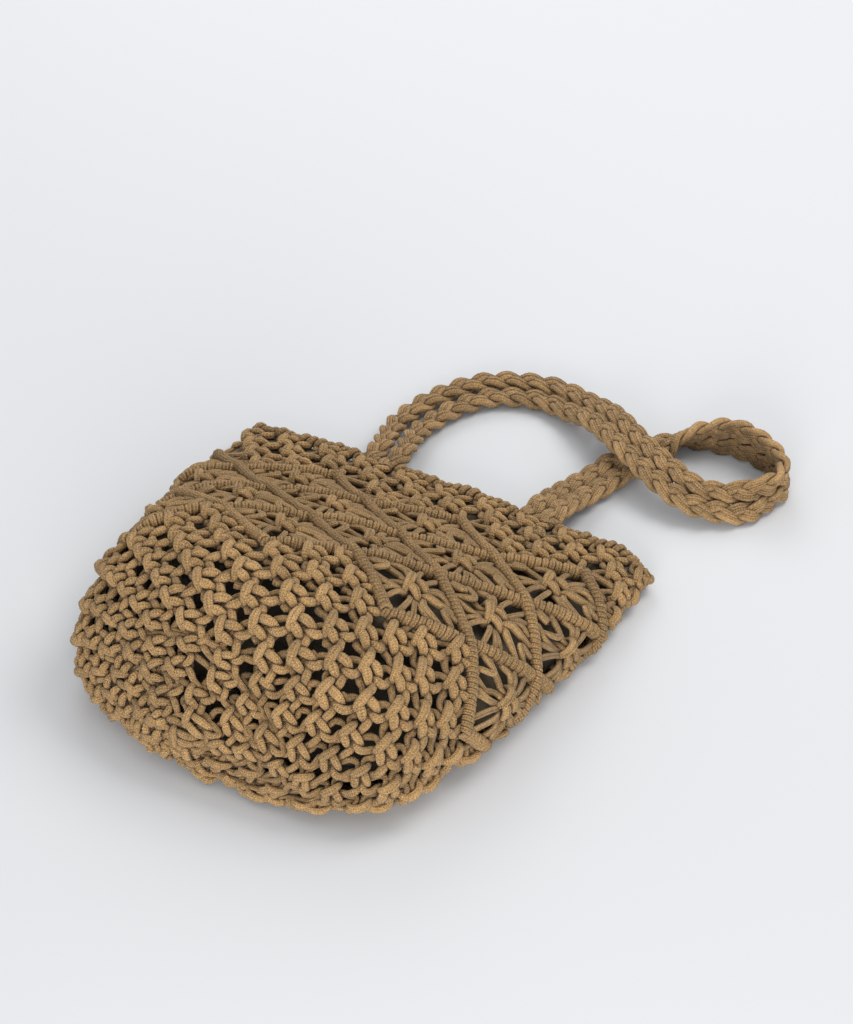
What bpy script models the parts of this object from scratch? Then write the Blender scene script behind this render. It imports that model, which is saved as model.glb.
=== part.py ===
"""A knotted-cord shoulder bag lying on its back panel, with two braided handles.

Metres, +Z up.  The mouth faces +Y, the closed base faces -Y, and the front
panel is the upper side.  The net is three pieces of knotting (top net, band of
diamonds, base net) over a sewn cloth pouch.
"""
import math

import bmesh
import bpy
import numpy as np
from mathutils import Vector

# ---------------------------------------------------------------- sizes (mm)
MM = 0.001
CORD_D = 4.8              # the cord that the whole bag is knotted from
NET_WALL = 1.25 * CORD_D  # solid thickness that stands for the knotted net
LINING_WALL = 1.5         # pouch cloth with its seams
LINING_GAP = 0.9          # the pouch is stitched to the net and lies on its lower side
LINING_GAP_ABOVE = 5.0    # it sags away from the upper side of the net
LINING_CORNER = 1.8       # and rounds off the corner of the base
LINING_START = 16.0       # the hem lies this far inside the mouth
PIECE_GAP = 0.5           # measured along the bag, between neighbouring pieces
FLATTEN = 0.04            # share of a section's height pressed flat underneath
SIDE_FACTOR = 1.5         # the wall is folded, so it is thicker at the two sides
DIAMONDS = 7              # diamonds around the band
HALF_ROW = 34.0           # half the height of one diamond
ROW_ZERO = 112.0          # mouth to the middle row of diamond corners
TOP_PEAK = 48.0           # mouth to the upper corners of the band
EVEN_ROWS = 73.0          # rows are evenly spaced this far, then stretch at the sides
STRETCH = 1.5             # how late along the bag that stretch comes in
TURN_ZERO = 0.298         # where the first diamond corner sits around the bag
COLUMNS = 56              # faces around each shell
ORIGIN = Vector((5.5, -158.0, 0.0))   # middle of the underside, seen from the mouth
BASE_ROWS = 11
BAND_ROWS = 10
TOP_ROWS = 5
LINING_ROWS = 12
HANDLE_D = 11.5           # one braid of three doubled cords
HANDLE_PITCH = 14.0       # between the middles of the two braids
HANDLE_STEP = 14.0        # between the points of a handle's route
GAP_LONG = 11.0           # the larger holes beside each gathering knot
GAP_WIDE = 9.0
GAP_DEPTH = 18.0          # height of the prism that cuts one
GAP_OFFSET = 0.21         # from the middle of a diamond, in diamond widths
LAST_GAP_TURN = 1.1       # beyond this the side of the bag turns too steep

# Sections across the bag.  along: from the mouth; lean: how far the underside
# reaches past the top; left, right: half-width ends; low, high: heights;
# crest: where the top is highest; waist: share of height at the widest place;
# left_n, right_n, low_n: squareness of the upper left, upper right and underside.
SECTION_NAMES = ("along", "lean", "left", "right", "low", "high",
                 "crest", "waist", "left_n", "right_n", "low_n")
SECTIONS = (
    (0, 0, -139, 144, 0, 20, -2, 0.45, 2.2, 3.0, 3.6),
    (42, 0, -141, 147, 0, 35, -7, 0.32, 2.4, 2.9, 3.6),
    (87, 0, -139, 150, 0, 55, -12, 0.24, 2.8, 2.6, 3.6),
    (138, 0, -124, 149, 0, 81, -5, 0.26, 2.8, 2.1, 3.6),
    (186, 0, -113, 152, 0, 103, 2, 0.32, 2.7, 1.7, 3.6),
    (222, 4, -112, 147, 0, 110, 10, 0.32, 2.5, 1.7, 3.6),
    (252, 6.5, -107, 143, 0, 104, 18, 0.34, 2.3, 1.9, 3.5),
    (273, 8, -93, 137, 2, 91, 24, 0.36, 2.2, 2.0, 3.1),
    (287, 10, -60, 124, 4, 78, 26, 0.38, 2.2, 2.1, 2.8),
    (296, 12, -42, 101, 7, 66, 25, 0.41, 2.0, 2.0, 2.4),
    (303, 13, -26, 70, 16, 56, 24, 0.46, 2.0, 2.0, 2.1),
    (305, 0, 22, 26, 37, 41, 24, 0.50, 2.0, 2.0, 2.0),
)

# Gentle dents and swellings of the knotting: height, turns around, turns
# along, start around, start along.
SWELLS = (
    (1.6, 3, 1.7, 0.10, 0.30),
    (1.1, 5, 2.6, 0.55, 0.05),
    (0.8, 8, 4.1, 0.25, 0.70),
)

# Route of the pair of handles (mm): place of the middle of the pair, and how
# far the pair is turned up on edge (0 flat, 1 one braid above the other).
HANDLE_NAMES = ("x", "y", "z", "on_edge")
HANDLE_ROUTE = (
    (-50, 0.6, 17, 0.0),
    (-50, 14, 17, 0.0),
    (-56, 33, 12, 0.0),
    (-60, 55, 7, 0.0),
    (-54, 85, 6, 0.0),
    (-37, 111, 6, 0.0),
    (-8, 124, 6, 0.0),
    (20, 119, 9, 0.0),
    (46, 106, 18, 0.0),
    (78, 87, 20, 0.0),
    (103, 75, 19, 0.1),
    (127, 71, 14, 0.2),
    (149, 80, 11, 0.4),
    (163, 95, 14, 1.0),
    (164, 114, 14, 1.0),
    (144, 130, 14, 1.0),
    (118, 134, 14, 1.0),
    (93, 123, 11, 0.6),
    (78, 107, 6, 0.0),
    (70, 88, 6, 0.0),
    (65, 64, 6, 0.0),
    (61, 38, 10, 0.0),
    (61, 14, 17, 0.0),
    (61, 0.6, 17, 0.0),
)

# Holes of the band that are cut through: diamond middle in diamond widths
# around and half-rows towards the mouth, as (around, towards_mouth).
GAP_DIAMONDS = ((0.0, -1), (0.5, 0), (1.0, -1), (0.5, -2), (-0.5, 0), (-0.5, -2))


def clear_scene():
    for obj in list(bpy.data.objects):
        bpy.data.objects.remove(obj, do_unlink=True)
    for coll in list(bpy.data.collections):
        bpy.data.collections.remove(coll)


def smooth_table(table, place):
    """Value of a table of rows at a fractional row number."""
    count = len(table)
    place = min(max(place, 0.0), count - 1 - 1e-9)
    i = int(place)
    f = place - i
    rows = [table[min(max(i + k, 0), count - 1)] for k in (-1, 0, 1, 2)]
    a, b, c, d = (np.array(r, float) for r in rows)
    return 0.5 * (2 * b + (c - a) * f + (2 * a - 5 * b + 4 * c - d) * f * f
                  + (3 * b - a - 3 * c + d) * f ** 3)


def row_at(place):
    return dict(zip(SECTION_NAMES, smooth_table(SECTIONS, place)))


def section_point(row, angle, inset=(0.0, 0.0)):
    """A point of one cross-section; angle 0 is the left edge, then over the top.

    inset is how far inside the net's face it lies, on the upper and lower side."""
    mean = (inset[0] + inset[1]) / 2
    across = -math.cos(angle)
    up = math.sin(angle)
    low = row["low"] + inset[1] * row.get("flat", 1.0)
    high = row["high"] - inset[0] * row.get("flat", 1.0)
    left = row["left"] + mean * row.get("side", 1.0)
    right = row["right"] - mean * row.get("side", 1.0)
    low = max(low, inset[1])
    mid = low + row["waist"] * (high - low)
    sunk = low - FLATTEN * (high - low)
    power = row["left_n"] if across < 0 else row["right_n"]
    if up < 0:
        power = row["low_n"]
    reach = (row["crest"] - left) if across < 0 else (right - row["crest"])
    rise = (high - mid) if up > 0 else (mid - sunk)
    x = row["crest"] + reach * math.copysign(abs(across) ** (2 / power), across)
    z = max(mid + rise * math.copysign(abs(up) ** (2 / power), up), low)
    share = (z - low) / max(high - low, 0.1)
    y = -row["along"] - row["lean"] * (1 - 2 * share) + mean * row.get("back", 0.0)
    return Vector((x, y, z))


class Body:
    """The bag's surface by share around, u, and distance from the mouth, s."""

    def __init__(self, steps=110, rings=220):
        self.places = [k * (len(SECTIONS) - 1) / steps for k in range(steps + 1)]
        self.rows = [row_at(p) for p in self.places]
        self.tables = [self.angle_table(row, rings) for row in self.rows]
        self.own_paths = {}
        self.length = self.own_path(TURN_ZERO)[-1]
        for k, row in enumerate(self.rows):
            self.set_insets(k, row)

    def angle_table(self, row, rings):
        angles = [2 * math.pi * i / rings for i in range(rings + 1)]
        points = [section_point(row, a) for a in angles]
        run = [0.0]
        for a, b in zip(points, points[1:]):
            run.append(run[-1] + (b - a).length)
        total = run[-1]
        return [r / total for r in run], angles

    def set_insets(self, k, row):
        """How an inward offset shares itself between height, sides and length."""
        a = self.rows[max(k - 1, 0)]
        b = self.rows[min(k + 1, len(self.rows) - 1)]
        step = max(b["along"] - a["along"], 1e-6)
        shrink = ((a["high"] - a["low"]) - (b["high"] - b["low"])) / 2
        narrow = ((a["right"] - a["left"]) - (b["right"] - b["left"])) / 2
        pull = max(0.0, 0.5 * shrink + 0.5 * narrow) / step
        flat = 1 / math.sqrt(1 + pull * pull)
        row["flat"] = flat
        row["side"] = flat * SIDE_FACTOR
        row["back"] = pull * flat
        if row["along"] < 60:
            row["back"] = 0.0

    def raw(self, k, u):
        shares, angles = self.tables[k]
        return section_point(self.rows[k], float(np.interp(u % 1.0, shares, angles)))

    def own_path(self, u):
        """Running length from the mouth to the pole along one line of the net."""
        key = round(u % 1.0, 6)
        if key not in self.own_paths:
            line = [self.raw(k, key) for k in range(len(self.rows))]
            run = [0.0]
            for a, b in zip(line, line[1:]):
                run.append(run[-1] + (b - a).length)
            self.own_paths[key] = run
        return self.own_paths[key]

    def place_at(self, u, s):
        """Table place of the row that lies s from the mouth down the middle line.

        Every line of the net has the same number of knots, so the longer lines
        at the two sides are stretched more the nearer they come to the base."""
        run = self.own_path(u)
        late = max(0.0, s - EVEN_ROWS) / (self.length - EVEN_ROWS)
        own = s + (run[-1] - self.length) * min(late, 1.0) ** STRETCH
        return float(np.interp(own, run, self.places))

    def swell(self, u, s):
        """Unevenness of the upper side, fading at the mouth, pole and underside."""
        t = s / self.length
        total = 0.0
        for height, around, along, u_zero, s_zero in SWELLS:
            total += height * math.sin(2 * math.pi * (around * u + u_zero)) \
                * math.sin(2 * math.pi * (along * t + s_zero))
        fade = min(1.0, s / 50, (self.length - s) / 60)
        upper = max(0.0, math.sin(2 * math.pi * min(max(u, 0.0), 0.5)))
        return total * max(fade, 0.0) * upper

    def point(self, u, s, inset=(0.0, 0.0)):
        u = u % 1.0
        place = self.place_at(u, s)
        k = place / self.places[1]
        k0 = min(int(k), len(self.rows) - 2)
        f = k - k0
        shares0, angles0 = self.tables[k0]
        shares1, angles1 = self.tables[k0 + 1]
        ang0 = float(np.interp(u, shares0, angles0))
        ang1 = float(np.interp(u, shares1, angles1))
        p0 = section_point(self.rows[k0], ang0, inset)
        p1 = section_point(self.rows[k0 + 1], ang1, inset)
        point = p0.lerp(p1, f)
        point.z += self.swell(u, s)
        return point


def zigzag(turn, at_whole, at_half):
    """Straight-sided zigzag around the bag, by turn in diamond widths."""
    away = abs(turn - round(turn)) * 2
    return at_whole + (at_half - at_whole) * away


def band_top(turn):
    return zigzag(turn, TOP_PEAK, ROW_ZERO - HALF_ROW)


def band_bottom(turn):
    return zigzag(turn, ROW_ZERO + 2 * HALF_ROW, ROW_ZERO + 3 * HALF_ROW)


def turn_to_share(turn):
    return TURN_ZERO + turn / DIAMONDS


def new_object(name, bm, coll, material, smooth=True):
    mesh = bpy.data.meshes.new(name)
    bmesh.ops.recalc_face_normals(bm, faces=bm.faces)
    bm.to_mesh(mesh)
    bm.free()
    for poly in mesh.polygons:
        poly.use_smooth = smooth
    obj = bpy.data.objects.new(name, mesh)
    obj.data.materials.append(material)
    coll.objects.link(obj)
    return obj


def material(name, colour, rough):
    mat = bpy.data.materials.new(name)
    mat.use_nodes = True
    shader = mat.node_tree.nodes["Principled BSDF"]
    shader.inputs["Base Color"].default_value = (*colour, 1)
    shader.inputs["Roughness"].default_value = rough
    return mat


def wall(body, name, coll, mat, start, end, rows, outer, inner, pole=False):
    """A closed shell between two edges that run around the bag.

    start and end give the distance from the mouth for a turn; outer and inner
    give the inward offset of the two faces for a distance from the mouth."""
    bm = bmesh.new()
    turns = [DIAMONDS * c / COLUMNS for c in range(COLUMNS)]
    faces = []
    last = rows - 1 if pole else rows
    for offset in (outer, inner):
        grid = []
        for r in range(last + 1):
            share = r / rows
            if pole:
                share = share ** 0.96
            ring = []
            for turn in turns:
                s = start(turn) + (end(turn) - start(turn)) * share
                at = body.point(turn_to_share(turn), s, offset(s))
                ring.append(bm.verts.new((at - ORIGIN) * MM))
            grid.append(ring)
        faces.append(grid)
    for grid in faces:
        for a, b in zip(grid, grid[1:]):
            for c in range(COLUMNS):
                d = (c + 1) % COLUMNS
                bm.faces.new((a[c], a[d], b[d], b[c]))
        if pole:
            centre = body.point(TURN_ZERO, body.length)
            offset = outer(body.length) if grid is faces[0] else inner(body.length)
            back = (offset[0] + offset[1]) / 2
            tip = bm.verts.new((centre + Vector((0, back, 0)) - ORIGIN) * MM)
            ring = grid[-1]
            for c in range(COLUMNS):
                bm.faces.new((ring[c], ring[(c + 1) % COLUMNS], tip))
    edges = [0] if pole else [0, -1]
    for which in edges:
        a = faces[0][which]
        b = faces[1][which]
        for c in range(COLUMNS):
            d = (c + 1) % COLUMNS
            bm.faces.new((a[c], a[d], b[d], b[c]))
    return new_object(name, bm, coll, mat)


def gap_places():
    """Middle of each cut hole as (turn, distance from the mouth)."""
    places = []
    for around, towards in GAP_DIAMONDS:
        for side in (-1, 1):
            turn = around + side * GAP_OFFSET
            if turn < LAST_GAP_TURN:
                places.append((turn, ROW_ZERO - HALF_ROW * towards))
    return places


def gap_cutters(body, coll):
    """Upright eight-sided prisms through the front wall, one for each hole."""
    bm = bmesh.new()
    for turn, s in gap_places():
        at = body.point(turn_to_share(turn), s, (NET_WALL / 2, NET_WALL / 2))
        loops = []
        for dz in (-GAP_DEPTH / 2, GAP_DEPTH / 2):
            ring = []
            for k in range(8):
                a = 2 * math.pi * (k + 0.5) / 8
                x = at.x + GAP_WIDE / 2 / math.cos(math.pi / 8) * math.cos(a)
                y = at.y + GAP_LONG / 2 / math.cos(math.pi / 8) * math.sin(a)
                ring.append(bm.verts.new((Vector((x, y, at.z + dz)) - ORIGIN) * MM))
            loops.append(ring)
        bm.faces.new(list(reversed(loops[0])))
        bm.faces.new(loops[1])
        for k in range(8):
            n = (k + 1) % 8
            bm.faces.new((loops[0][k], loops[0][n], loops[1][n], loops[1][k]))
    mesh = bpy.data.meshes.new("gap_cutters")
    bmesh.ops.recalc_face_normals(bm, faces=bm.faces)
    bm.to_mesh(mesh)
    bm.free()
    cutter = bpy.data.objects.new("gap_cutters", mesh)
    cutter.hide_render = True
    cutter.display_type = "WIRE"
    coll.objects.link(cutter)
    return cutter


def handle_route(side):
    """Middle line of one braid; side is -1 or +1 across the pair."""
    fine = [smooth_table(HANDLE_ROUTE, k * (len(HANDLE_ROUTE) - 1) / 400)
            for k in range(401)]
    places = [Vector(p[:3]) for p in fine]
    lines = []
    for k, p in enumerate(places):
        ahead = places[min(k + 1, 400)] - places[max(k - 1, 0)]
        level = Vector((ahead.y, -ahead.x, 0)).normalized()
        turned = math.pi / 2 * float(fine[k][3])
        across = level * math.cos(turned) - Vector((0, 0, 1)) * math.sin(turned)
        lines.append(p + across * (side * HANDLE_PITCH / 2))
    run = [0.0]
    for a, b in zip(lines, lines[1:]):
        run.append(run[-1] + (b - a).length)
    count = int(round(run[-1] / HANDLE_STEP)) + 1
    route = []
    for k in range(count):
        want = run[-1] * k / (count - 1)
        i = min(int(np.searchsorted(run, want, side="right")) - 1, len(run) - 2)
        f = (want - run[i]) / max(run[i + 1] - run[i], 1e-9)
        at = lines[i].lerp(lines[i + 1], f)
        at.z = max(at.z, HANDLE_D / 2 + 0.05)
        route.append(at)
    return route


def handle(name, side, coll, mat):
    curve = bpy.data.curves.new(name, "CURVE")
    curve.dimensions = "3D"
    curve.bevel_depth = HANDLE_D / 2 * MM
    curve.bevel_resolution = 2
    curve.use_fill_caps = True
    curve.resolution_u = 1
    curve.render_resolution_u = 0
    route = handle_route(side)
    spline = curve.splines.new("POLY")
    spline.points.add(len(route) - 1)
    for point, at in zip(spline.points, route):
        point.co = (*((at - ORIGIN) * MM), 1.0)
    obj = bpy.data.objects.new(name, curve)
    obj.data.materials.append(mat)
    coll.objects.link(obj)
    return obj


def main():
    clear_scene()
    coll = bpy.data.collections.new("shoulder_bag")
    bpy.context.scene.collection.children.link(coll)
    tools = bpy.data.collections.new("cutters")
    bpy.context.scene.collection.children.link(tools)
    body = Body()

    cord = (0.48, 0.32, 0.17)
    gap = PIECE_GAP / 2

    def outside(s):
        return 0.0, 0.0

    def net_inside(s):
        return NET_WALL, NET_WALL

    def pouch_outside(s):
        ease = min(1.0, max(0.0, (s - LINING_START) / 45))
        above = LINING_GAP + (LINING_GAP_ABOVE - LINING_GAP) * ease
        below = LINING_GAP + LINING_CORNER * max(0.0, (s - 200) / 100)
        return NET_WALL + above, NET_WALL + below

    def pouch_inside(s):
        above, below = pouch_outside(s)
        return above + LINING_WALL, below + LINING_WALL

    wall(body, "top_net", coll, material("cord_top", cord, 0.8),
         lambda t: 0.0, lambda t: band_top(t) - gap, TOP_ROWS, outside, net_inside)
    band = wall(body, "diamond_band", coll, material("cord_band", cord, 0.8),
                lambda t: band_top(t) + gap, lambda t: band_bottom(t) - gap,
                BAND_ROWS, outside, net_inside)
    wall(body, "base_net", coll, material("cord_base", cord, 0.8),
         lambda t: band_bottom(t) + gap, lambda t: body.length,
         BASE_ROWS, outside, net_inside, pole=True)
    wall(body, "lining", coll, material("lining_cloth", (0.66, 0.58, 0.46), 0.85),
         lambda t: LINING_START, lambda t: body.length, LINING_ROWS,
         pouch_outside, pouch_inside, pole=True)

    cutter = gap_cutters(body, tools)
    cut = band.modifiers.new("gaps", "BOOLEAN")
    cut.operation = "DIFFERENCE"
    cut.solver = "EXACT"
    cut.object = cutter

    handle("handle_front", -1, coll, material("cord_handle_front", cord, 0.8))
    handle("handle_back", 1, coll, material("cord_handle_back", cord, 0.8))


main()
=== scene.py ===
"""Looks for the knotted-cord shoulder bag: cords, lining cloth, light and camera."""
import math

import bpy
import numpy as np
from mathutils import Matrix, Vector

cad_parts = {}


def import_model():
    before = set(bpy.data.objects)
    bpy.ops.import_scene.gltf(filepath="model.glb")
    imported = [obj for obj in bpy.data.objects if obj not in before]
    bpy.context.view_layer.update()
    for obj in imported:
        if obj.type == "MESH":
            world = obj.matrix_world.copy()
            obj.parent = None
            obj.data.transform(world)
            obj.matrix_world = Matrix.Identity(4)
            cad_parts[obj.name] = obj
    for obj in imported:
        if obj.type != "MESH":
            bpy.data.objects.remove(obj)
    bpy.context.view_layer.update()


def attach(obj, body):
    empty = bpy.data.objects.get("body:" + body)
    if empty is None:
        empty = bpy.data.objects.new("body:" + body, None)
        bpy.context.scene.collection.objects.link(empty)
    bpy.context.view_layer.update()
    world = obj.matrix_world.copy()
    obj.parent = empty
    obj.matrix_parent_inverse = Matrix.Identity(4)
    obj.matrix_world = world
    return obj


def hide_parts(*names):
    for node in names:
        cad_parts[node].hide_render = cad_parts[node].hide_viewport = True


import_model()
rng = np.random.default_rng(7)
scene = bpy.context.scene

# ---------------- the form (mm)
# A place on the bag is c, counted around in strand widths, v, the distance from
# the mouth, and h, the height over the net's outer face.
MM = 0.001
ORIGIN = np.array([5.5, -158.0, 0.0])  # middle of the underside, from the mouth
DIAMONDS = 7  # diamonds around the band
KNOTS_AROUND = 21  # square knots in a row
STRANDS = 4 * KNOTS_AROUND
HALF_ROW = 34.0  # half the height of one diamond
ROW_ZERO = 112.0  # mouth to the middle row of diamond corners
TOP_PEAK = 48.0  # mouth to the upper corners of the band
EVEN_ROWS = 73.0  # rows are evenly spaced so far, then fitted to each column's length
STRETCH = 1.5  # how late along the bag that comes in
TURN_ZERO = 0.298  # where the first diamond corner sits around the bag
FLATTEN = 0.04  # share of a section's height pressed flat underneath
BASE_START = ROW_ZERO + 3 * HALF_ROW
ROW_STEP = 15.4  # between two rows of square knots
MOUTH_SHARE = 0.62  # the net is this much thinner at the mouth
MOUTH_FADE = 60.0
SOFT_BELOW = 4.0  # lower than this the net is squeezed against the surface
PRESSED = 1.4  # and so is each cord
FAN_CENTRE = (20.0, -188.0, 46.0)  # the base net's lines are seen from here
POLE = (0.0, -294.0, 26.0)  # and close here
FAN_STEPS = 90
FAN_REACH = 260.0  # longest look from there, halved this often to find the surface
FAN_HALVINGS = 26
FAN_BLEND = 0.06  # share of a line that eases it out of the band
BASE_ROWS = 10.5
BASE_SUNK = 2.5  # the base net lies this much lower, to keep inside its solid
SUNK_FROM = BASE_START - 30.0
SUNK_OVER = 50.0
CORNER_START = 116.0  # the mouth's right-hand corner is rounded off from here
CORNER_WIDE = 28.0
CORNER_CUT = 10.0
CORNER_FADE = 45.0

# along, lean, left, right, low, high, crest, waist, left_n, right_n, low_n
SECTIONS = np.array((
    (0, 0, -139, 144, 0, 20, -2, 0.45, 2.2, 3.0, 3.6),
    (42, 0, -141, 147, 0, 35, -7, 0.32, 2.4, 2.9, 3.6),
    (87, 0, -139, 150, 0, 55, -12, 0.24, 2.8, 2.6, 3.6),
    (138, 0, -124, 149, 0, 81, -5, 0.26, 2.8, 2.1, 3.6),
    (186, 0, -113, 152, 0, 103, 2, 0.32, 2.7, 1.7, 3.6),
    (222, 4, -112, 147, 0, 110, 10, 0.32, 2.5, 1.7, 3.6),
    (252, 6.5, -107, 143, 0, 104, 18, 0.34, 2.3, 1.9, 3.5),
    (273, 8, -93, 137, 2, 91, 24, 0.36, 2.2, 2.0, 3.1),
    (287, 10, -60, 124, 4, 78, 26, 0.38, 2.2, 2.1, 2.8),
    (296, 12, -42, 101, 7, 66, 25, 0.41, 2.0, 2.0, 2.4),
    (303, 13, -26, 70, 16, 56, 24, 0.46, 2.0, 2.0, 2.1),
    (305, 0, 22, 26, 37, 41, 24, 0.50, 2.0, 2.0, 2.0)), float)
# height, turns around, turns along, start around, start along
SWELLS = ((1.6, 3, 1.7, 0.10, 0.30), (1.1, 5, 2.6, 0.55, 0.05), (0.8, 8, 4.1, 0.25, 0.70))


def way(points):
    """Length along a line up to each of its points. In a grid every column is a line."""
    steps = np.linalg.norm(np.diff(points, axis=0), axis=-1)
    return np.concatenate([np.zeros_like(steps[:1]), np.cumsum(steps, axis=0)])


def unit(a):
    return a / np.maximum(np.linalg.norm(a, axis=-1, keepdims=True), 1e-9)


def square_to(ahead, a):
    """The directions a, turned square to the directions ahead."""
    return unit(a - ahead * np.sum(a * ahead, axis=1, keepdims=True))


def resampled(table, run, want):
    """The rows of a table that is given at the lengths in run, at the lengths wanted."""
    return np.stack([np.interp(want, run, column) for column in table.T], 1)


def resampled_grid(grid, want):
    """Every column of a grid, at the lengths wanted along it."""
    run = way(grid)
    return np.stack([resampled(grid[:, k], run[:, k], want[:, k])
                     for k in range(grid.shape[1])], 1)


def smooth_rows(table, place):
    """Rows of a table at fractional row numbers."""
    table = np.asarray(table, float)
    count = len(table)
    place = np.clip(np.atleast_1d(np.asarray(place, float)), 0, count - 1 - 1e-9)
    i = place.astype(int)
    f = (place - i)[:, None]
    a, b, c, d = (table[np.clip(i + k, 0, count - 1)] for k in (-1, 0, 1, 2))
    return 0.5 * (2 * b + (c - a) * f + (2 * a - 5 * b + 4 * c - d) * f * f
                  + (3 * b - a - 3 * c + d) * f ** 3)


def section_points(row, angle):
    """Points of one section, at angles around from its left side over the top."""
    along, lean, left, right, low, high, crest, waist, left_n, right_n, low_n = row
    across = -np.cos(angle)
    up = np.sin(angle)
    low = max(low, 0.0)
    mid = low + waist * (high - low)
    sunk = low - FLATTEN * (high - low)
    power = np.where(up < 0, low_n, np.where(across < 0, left_n, right_n))
    reach = np.where(across < 0, crest - left, right - crest)
    rise = np.where(up > 0, high - mid, mid - sunk)
    x = crest + reach * np.sign(across) * np.abs(across) ** (2 / power)
    z = np.maximum(mid + rise * np.sign(up) * np.abs(up) ** (2 / power), low)
    share = (z - low) / max(high - low, 0.1)
    y = -along - lean * (1 - 2 * share)
    return np.stack([x, y, z], -1)


class Skin:
    """The bag's outer face as a grid, a row for each nominal millimetre from the mouth."""

    U = 336  # columns
    SECTIONS_MADE = 132  # worked out between the given ones
    RING = 481  # points around a section

    def __init__(self):
        places = np.linspace(0, len(SECTIONS) - 1, self.SECTIONS_MADE + 1)
        self.rows = smooth_rows(SECTIONS, places)
        angle = np.linspace(0, 2 * np.pi, self.RING)
        share = (TURN_ZERO + np.arange(self.U) / self.U) % 1.0
        ring = []
        for row in self.rows:
            pts = section_points(row, angle)
            run = way(pts)
            ring.append(section_points(row, np.interp(share, run / run[-1], angle)))
        ring = np.array(ring)
        whole = way(ring)[-1]
        self.length = whole[0]
        v = np.arange(0, BASE_START + 0.5, 1.0)[:, None]
        late = np.maximum(0.0, v - EVEN_ROWS) / (self.length - EVEN_ROWS)
        front = resampled_grid(ring, v + (whole - self.length) * late ** STRETCH)
        self.swell(front, share)
        base = self.fan(front[-1])
        self.grid = np.concatenate([front, base[1:]])
        self.v_max = len(self.grid) - 1
        around = (np.roll(self.grid, -1, 1) - np.roll(self.grid, 1, 1)) / 2
        down = np.gradient(self.grid, axis=0)
        normal = unit(np.cross(down, around))
        normal[-1] = (0, -1, 0)
        for _ in range(3):
            normal = (normal + np.roll(normal, 1, 1) + np.roll(normal, -1, 1)) / 3
            normal[1:-1] = (normal[:-2] + normal[1:-1] + normal[2:]) / 3
        self.normal = unit(normal)
        self.per_strand = np.linalg.norm(around, axis=2) * self.U / STRANDS
        self.per_mm = np.linalg.norm(down, axis=2)

    def swell(self, pts, share):
        """Gentle dents and swellings of the knotting on the upper side."""
        s = np.arange(len(pts))[:, None]
        t = s / self.length
        total = 0
        for height, around, along, u_zero, s_zero in SWELLS:
            total = total + height * np.sin(2 * np.pi * (around * share + u_zero)) \
                * np.sin(2 * np.pi * (along * t + s_zero))
        fade = np.clip(np.minimum(s / 50, (self.length - s) / 60), 0, 1)
        upper = np.maximum(0, np.sin(2 * np.pi * np.clip(share, 0, 0.5)))
        pts[..., 2] += total * fade * upper

    def inside(self, p):
        """Below 1 inside the slumped form, above 1 outside."""
        along = np.clip(-p[..., 1], 0, 330)
        for _ in range(3):
            _, lean, left, right, low, high, crest, waist, left_n, right_n, low_n = (
                np.interp(along, self.rows[:, 0], column) for column in self.rows.T)
            share = (p[..., 2] - low) / np.maximum(high - low, 0.1)
            along = -p[..., 1] - lean * (1 - 2 * np.clip(share, 0, 1))
        low = np.maximum(low, 0)
        mid = low + waist * (high - low)
        sunk = low - FLATTEN * (high - low)
        above = p[..., 2] > mid
        dx = p[..., 0] - crest
        reach = np.where(dx < 0, crest - left, right - crest)
        rise = np.where(above, high - mid, mid - sunk)
        power = np.where(above, np.where(dx < 0, left_n, right_n), low_n)
        value = (np.abs(dx) / np.maximum(reach, 0.1)) ** power \
            + (np.abs(p[..., 2] - mid) / np.maximum(rise, 0.1)) ** power
        value = np.where(along > self.rows[-1, 0], 9.0, value)
        return np.where(p[..., 2] < 0, 9.0, value)

    def fan(self, start):
        """Lines of the base net fan in from the band to the pole over the dome."""
        centre = np.array(FAN_CENTRE)
        pole = np.array(POLE)
        to_pole = unit(pole - centre)
        d0 = start - centre
        r0 = np.linalg.norm(d0, axis=1)
        d0 = d0 / r0[:, None]
        angle = np.arccos(np.clip(d0 @ to_pole, -1, 1))
        lines = []
        for k in range(FAN_STEPS + 1):
            t = k / FAN_STEPS
            d = unit((np.sin((1 - t) * angle)[:, None] * d0
                      + np.sin(t * angle)[:, None] * to_pole) / np.sin(angle)[:, None])
            lo = np.zeros(self.U)
            hi = np.full(self.U, FAN_REACH)
            for _ in range(FAN_HALVINGS):
                mid = (lo + hi) / 2
                out = self.inside(centre + d * mid[:, None]) > 1
                hi = np.where(out, mid, hi)
                lo = np.where(out, lo, mid)
            blend = min(1.0, t / FAN_BLEND)
            lines.append(centre + d * (lo * blend + r0 * (1 - blend))[:, None])
        lines = np.array(lines)
        for _ in range(4):
            lines[1:-1] = (lines[:-2] + 2 * lines[1:-1] + lines[2:]) / 4
            beside = np.roll(lines[1:-1], 1, 1), np.roll(lines[1:-1], -1, 1)
            lines[1:-1] = (beside[0] + 2 * lines[1:-1] + beside[1]) / 4
        count = int(round(BASE_ROWS * ROW_STEP))
        return resampled_grid(lines, way(lines)[-1] * np.arange(count + 1)[:, None] / count)

    def sample(self, table, c, v):
        """Values of one of the grid's tables between its points."""
        v = np.clip(v, 0, self.v_max - 1e-6)
        a = (np.asarray(c) / STRANDS * self.U) % self.U
        i = v.astype(int)
        f = v - i
        j = a.astype(int)
        g = a - j
        j1 = (j + 1) % self.U
        if table.ndim == 3:
            f = f[..., None]
            g = g[..., None]
        return ((table[i, j] * (1 - g) + table[i, j1] * g) * (1 - f)
                + (table[i + 1, j] * (1 - g) + table[i + 1, j1] * g) * f)

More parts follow.
